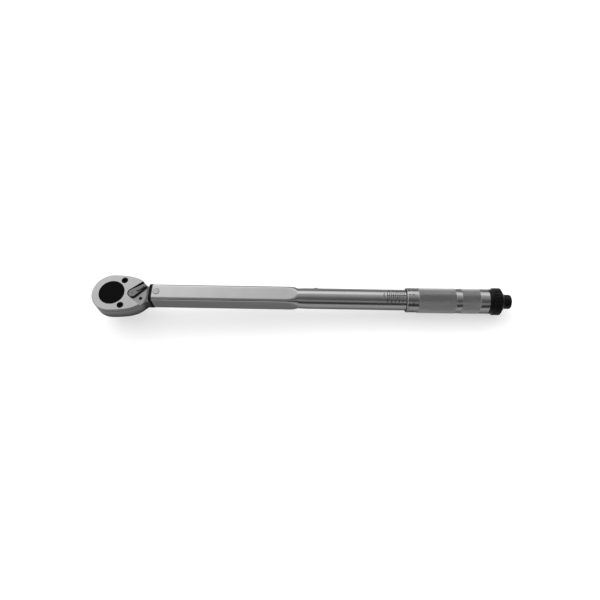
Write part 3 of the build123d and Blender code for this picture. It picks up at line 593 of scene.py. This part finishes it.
def numeral(shape, text, radius, x, angle, height):
    """Characters printed on a cylinder, one after the other along its circumference."""
    curve = bpy.data.curves.new("numeral", "FONT")
    curve.body = text
    curve.size = height / CAPITAL_SHARE
    curve.align_x = "CENTER"
    curve.align_y = "CENTER"
    curve.resolution_u = 3
    curve.offset = height * BOLDNESS
    source = bpy.data.objects.new("numeral", curve)
    flat = bpy.data.meshes.new_from_object(source)
    start = len(shape.vertices)
    for vertex in flat.vertices:
        shape.vertices.append(around(x + vertex.co.y, radius + INK_LIFT, angle - vertex.co.x / radius))
    for polygon in flat.polygons:
        shape.faces.append(tuple(start + index for index in polygon.vertices))
    bpy.data.meshes.remove(flat)
    bpy.data.objects.remove(source)
    bpy.data.curves.remove(curve)


def tube_scale():
    """Main scale along the top of the round tube: an index line, a tick for each turn and its torque."""
    shape = Shape()
    last_x = FIRST_TICK_X - TICK_PITCH * (TICK_COUNT - 1)
    index_span = (last_x - 1.2 * MM, FIRST_TICK_X + INDEX_UNDER_SLEEVE)
    index_half_arc = TICK_HALF_WIDTH / TUBE_RADIUS
    stripe(shape, TUBE_RADIUS, index_span, (-index_half_arc, index_half_arc))
    for turn in range(TICK_COUNT):
        x = FIRST_TICK_X - TICK_PITCH * turn
        half = SHORT_TICK_HALF_ARC if turn % 5 else LONG_TICK_HALF_ARC
        stripe(shape, TUBE_RADIUS, (x - TICK_HALF_WIDTH, x + TICK_HALF_WIDTH), (-half, half))
        side = 1 if turn % 2 else -1
        torque = str(FIRST_TORQUE + TORQUE_PER_TURN * turn)
        numeral(shape, torque, TUBE_RADIUS, x, side * NUMERAL_ARC, height=1.6 * MM)
    numeral(shape, "N.m", TUBE_RADIUS, last_x - 3.6 * MM, 0.0, height=1.9 * MM)
    marks = mesh_object("tube_scale_marks", shape.vertices, shape.faces, SCALE_INK, "tube_body")


def sleeve_scale():
    """Divisions round the sleeve's front band, every other one long and numbered."""
    shape = Shape()
    half = DIVISION_HALF_WIDTH / BAND_RADIUS
    for division in range(DIVISIONS):
        angle = 2 * math.pi * division / DIVISIONS
        length = SHORT_DIVISION if division % 2 else LONG_DIVISION
        stripe(shape, BAND_RADIUS, (DIVISION_START, DIVISION_START + length), (angle - half, angle + half))
        if division % 2 == 0:
            numeral(shape, str(division), BAND_RADIUS, SLEEVE_START + 6.6 * MM, angle, height=2.3 * MM)
    marks = mesh_object("sleeve_scale_marks", shape.vertices, shape.faces, SCALE_INK, "grip")


# ---------------------------------------------------------------- studio

# Brightness of the studio from the back horizon (0) over the zenith (0.5) to the front horizon (1).
STUDIO = (
    (0.00, 0.04), (0.06, 0.10), (0.12, 0.45), (0.18, 0.90), (0.29, 1.00),
    (0.348, 0.55), (0.41, 0.38), (0.50, 0.30), (0.57, 0.15), (0.66, 0.11),
    (0.71, 0.09), (0.785, 0.34), (0.865, 0.045), (0.95, 0.03), (1.00, 0.06),
)
STUDIO_STRENGTH = 3.0
# How much brighter it is on the head's side, and the even tone of the two ends and where it takes over.
HEAD_SIDE_GAIN = 1.6
END_TONE = 0.27
END_SPAN = (0.70, 0.98)

FLOOR_HALF_SIZE = 4.0
FLOOR_TONE = 0.45
FLOOR_GLOW = 0.55
FLOOR_GAP = 0.02 * MM
# Where the wrench touches the floor: the edge of its square, and just behind the lock ring's middle.
SQUARE_HALF_WIDTH = 6.35 * MM
RING_CONTACT_X = (ring_low.x + ring_high.x) / 2 + 1.4 * MM

CAMERA_PLACE = Vector((205.5, -255.0, 515.8)) * MM
CAMERA_TARGET = Vector((200.7, -1.94, 27.5)) * MM
CAMERA_LENS = 30.8
CAMERA_SENSOR = 36
CAMERA_CLIP_START = 0.01


def studio():
    """Soft light from a long bank behind and above the bench, dim towards the front."""
    world = bpy.data.worlds.new("studio")
    bpy.context.scene.world = world
    world.use_nodes = True
    tree = world.node_tree
    backdrop = tree.nodes["Background"]
    direction = coordinates(tree, "Generated")
    height = math_node(tree, "MAXIMUM", direction["Z"], 0.0)
    swing = math_node(tree, "ARCTAN2", height, direction["Y"])
    bank = tone_ramp(tree, math_node(tree, "DIVIDE", swing, math.pi), STUDIO, "EASE")
    left = math_node(tree, "MAXIMUM", math_node(tree, "MULTIPLY", direction["X"], -1.0), 0.0)
    lean = math_node(tree, "MULTIPLY_ADD", left, HEAD_SIDE_GAIN, 1.0)
    tree.links.new(math_node(tree, "MULTIPLY", lean, STUDIO_STRENGTH), backdrop.inputs["Strength"])
    # near the ends of the bench the bands meet, so they give way to one even tone
    reach = math_node(tree, "ABSOLUTE", direction["X"])
    ends = map_range(tree, reach, END_SPAN, smooth=True)
    tree.links.new(mix_colours(tree, "MIX", ends, bank, grey(END_TONE)), backdrop.inputs["Color"])


def floor():
    """A plain pale floor, tilted in the row frame so that the wrench lies on its square and its lock ring."""
    rise = (ring_low.z - gear_low.z) / (RING_CONTACT_X - SQUARE_HALF_WIDTH)
    size = FLOOR_HALF_SIZE
    corners = []
    for x, y in ((-size, -size), (size, -size), (size, size), (-size, size)):
        corners.append((x, y, gear_low.z + rise * (x - SQUARE_HALF_WIDTH) - FLOOR_GAP))
    mesh = bpy.data.meshes.new("floor")
    mesh.from_pydata(corners, [], [(0, 1, 2, 3)])
    plane = bpy.data.objects.new("floor", mesh)
    bpy.context.scene.collection.objects.link(plane)
    paper, _, shader = node_material("pale_floor", 0.0, 0.9, FLOOR_TONE)
    shader.inputs["Specular IOR Level"].default_value = 0.0
    shader.inputs["Emission Color"].default_value = grey(1.0)
    shader.inputs["Emission Strength"].default_value = FLOOR_GLOW
    mesh.materials.append(paper)


def camera():
    """The photographer's view, from above the tool's near side."""
    data = bpy.data.cameras.new("camera")
    data.lens = CAMERA_LENS
    data.sensor_width = CAMERA_SENSOR
    data.clip_start = CAMERA_CLIP_START
    view = bpy.data.objects.new("camera", data)
    bpy.context.scene.collection.objects.link(view)
    view.location = CAMERA_PLACE
    view.rotation_euler = (CAMERA_TARGET - CAMERA_PLACE).to_track_quat("-Z", "Y").to_euler()
    bpy.context.scene.camera = view


finish_nodes()
knurled_sleeve()
springs()
tube_scale()
sleeve_scale()
studio()
floor()
camera()

bpy.context.scene.view_settings.view_transform = "Standard"
bpy.context.scene.view_settings.look = "None"
